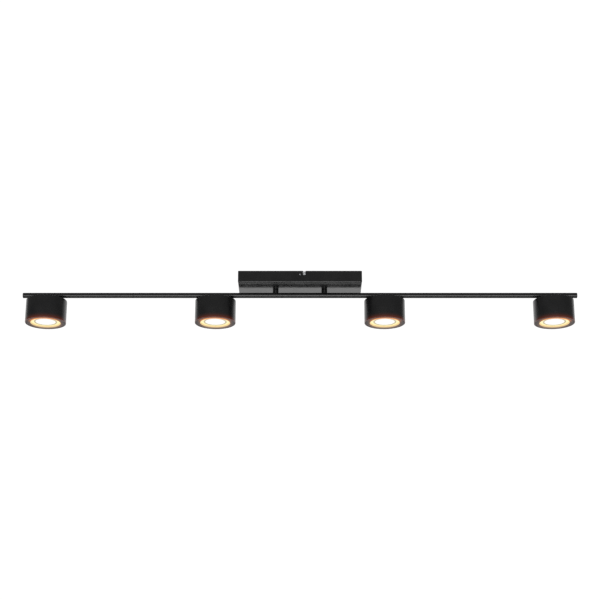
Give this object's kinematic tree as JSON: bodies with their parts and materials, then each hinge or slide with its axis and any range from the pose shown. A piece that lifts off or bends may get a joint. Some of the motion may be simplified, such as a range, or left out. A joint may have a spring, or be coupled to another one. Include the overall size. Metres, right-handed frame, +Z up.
{
  "type": "ceiling spot bar",
  "caption": "Ceiling spot bar: shallow rectangular canopy on two short posts, long thin round bar, and round LED heads that pan and tilt close under it.",
  "frame": {"origin": "on the ceiling, at the middle of the bracket's top face", "axes": "+X along the bar, -Y to the front, +Z up"},
  "size_m": [1.025, 0.088, 0.0866],
  "materials": {
    "black_paint": "satin black powder coat",
    "zinc_plate": "bright zinc plate",
    "bright_steel": "bright",
    "brass": "plain",
    "aluminium": "turned",
    "white_plastic": "moulded, fine grain",
    "board_mask": "white solder mask on an aluminium board",
    "lens_plastic": "opal, lit",
    "diffuser_plastic": "satin, lit",
    "reflector_plastic": "bright",
    "lead_sleeve": "silicone sleeve"
  },
  "bodies": {
    "root": {"ceiling_bracket": "zinc_plate", "canopy_cover": "black_paint", "canopy_screw_front": "bright_steel", "canopy_screw_back": "bright_steel", "earth_screw": "brass", "led_driver": "white_plastic", "terminal_block": "white_plastic", "post_left": "black_paint", "post_nut_left": "zinc_plate", "bar_end_cap_left": "black_paint", "post_right": "black_paint", "post_nut_right": "zinc_plate", "bar_end_cap_right": "black_paint", "bar_tube": "black_paint", "supply_lead": "lead_sleeve", "head_1_socket": "black_paint", "head_2_socket": "black_paint", "head_3_socket": "black_paint", "head_4_socket": "black_paint"},
    "head_1_swivel": {"head_1_knuckle": "black_paint"},
    "head_1": {"head_1_housing": "black_paint", "head_1_tilt_bracket": "zinc_plate", "head_1_tilt_pin": "bright_steel", "head_1_trim_ring": "black_paint", "head_1_diffuser_ring": "diffuser_plastic", "head_1_lens": "lens_plastic", "head_1_reflector": "reflector_plastic", "head_1_led_board": "board_mask", "head_1_heat_sink": "aluminium"},
    "head_2_swivel": {"head_2_knuckle": "black_paint"},
    "head_2": {"head_2_housing": "black_paint", "head_2_tilt_bracket": "zinc_plate", "head_2_tilt_pin": "bright_steel", "head_2_trim_ring": "black_paint", "head_2_diffuser_ring": "diffuser_plastic", "head_2_lens": "lens_plastic", "head_2_reflector": "reflector_plastic", "head_2_led_board": "board_mask", "head_2_heat_sink": "aluminium"},
    "head_3_swivel": {"head_3_knuckle": "black_paint"},
    "head_3": {"head_3_housing": "black_paint", "head_3_tilt_bracket": "zinc_plate", "head_3_tilt_pin": "bright_steel", "head_3_trim_ring": "black_paint", "head_3_diffuser_ring": "diffuser_plastic", "head_3_lens": "lens_plastic", "head_3_reflector": "reflector_plastic", "head_3_led_board": "board_mask", "head_3_heat_sink": "aluminium"},
    "head_4_swivel": {"head_4_knuckle": "black_paint"},
    "head_4": {"head_4_housing": "black_paint", "head_4_tilt_bracket": "zinc_plate", "head_4_tilt_pin": "bright_steel", "head_4_trim_ring": "black_paint", "head_4_diffuser_ring": "diffuser_plastic", "head_4_lens": "lens_plastic", "head_4_reflector": "reflector_plastic", "head_4_led_board": "board_mask", "head_4_heat_sink": "aluminium"}
  },
  "joints": [
    {"name": "head_1_pan", "type": "hinge", "parent": "root", "child": "head_1_swivel", "pos_m": [-0.468, 0, -0.0413], "axis": [0, 0, 1], "range_deg": [-175, 175]},
    {"name": "head_1_tilt", "type": "hinge", "parent": "head_1_swivel", "child": "head_1", "pos_m": [-0.468, 0, -0.0517], "axis": [1, 0, 0], "range_deg": [-30, 30]},
    {"name": "head_2_pan", "type": "hinge", "parent": "root", "child": "head_2_swivel", "pos_m": [-0.156, 0, -0.0413], "axis": [0, 0, 1], "range_deg": [-175, 175]},
    {"name": "head_2_tilt", "type": "hinge", "parent": "head_2_swivel", "child": "head_2", "pos_m": [-0.156, 0, -0.0517], "axis": [1, 0, 0], "range_deg": [-30, 30]},
    {"name": "head_3_pan", "type": "hinge", "parent": "root", "child": "head_3_swivel", "pos_m": [0.156, 0, -0.0413], "axis": [0, 0, 1], "range_deg": [-175, 175]},
    {"name": "head_3_tilt", "type": "hinge", "parent": "head_3_swivel", "child": "head_3", "pos_m": [0.156, 0, -0.0517], "axis": [1, 0, 0], "range_deg": [-30, 30]},
    {"name": "head_4_pan", "type": "hinge", "parent": "root", "child": "head_4_swivel", "pos_m": [0.468, 0, -0.0413], "axis": [0, 0, 1], "range_deg": [-175, 175]},
    {"name": "head_4_tilt", "type": "hinge", "parent": "head_4_swivel", "child": "head_4", "pos_m": [0.468, 0, -0.0517], "axis": [1, 0, 0], "range_deg": [-30, 30]}
  ]
}
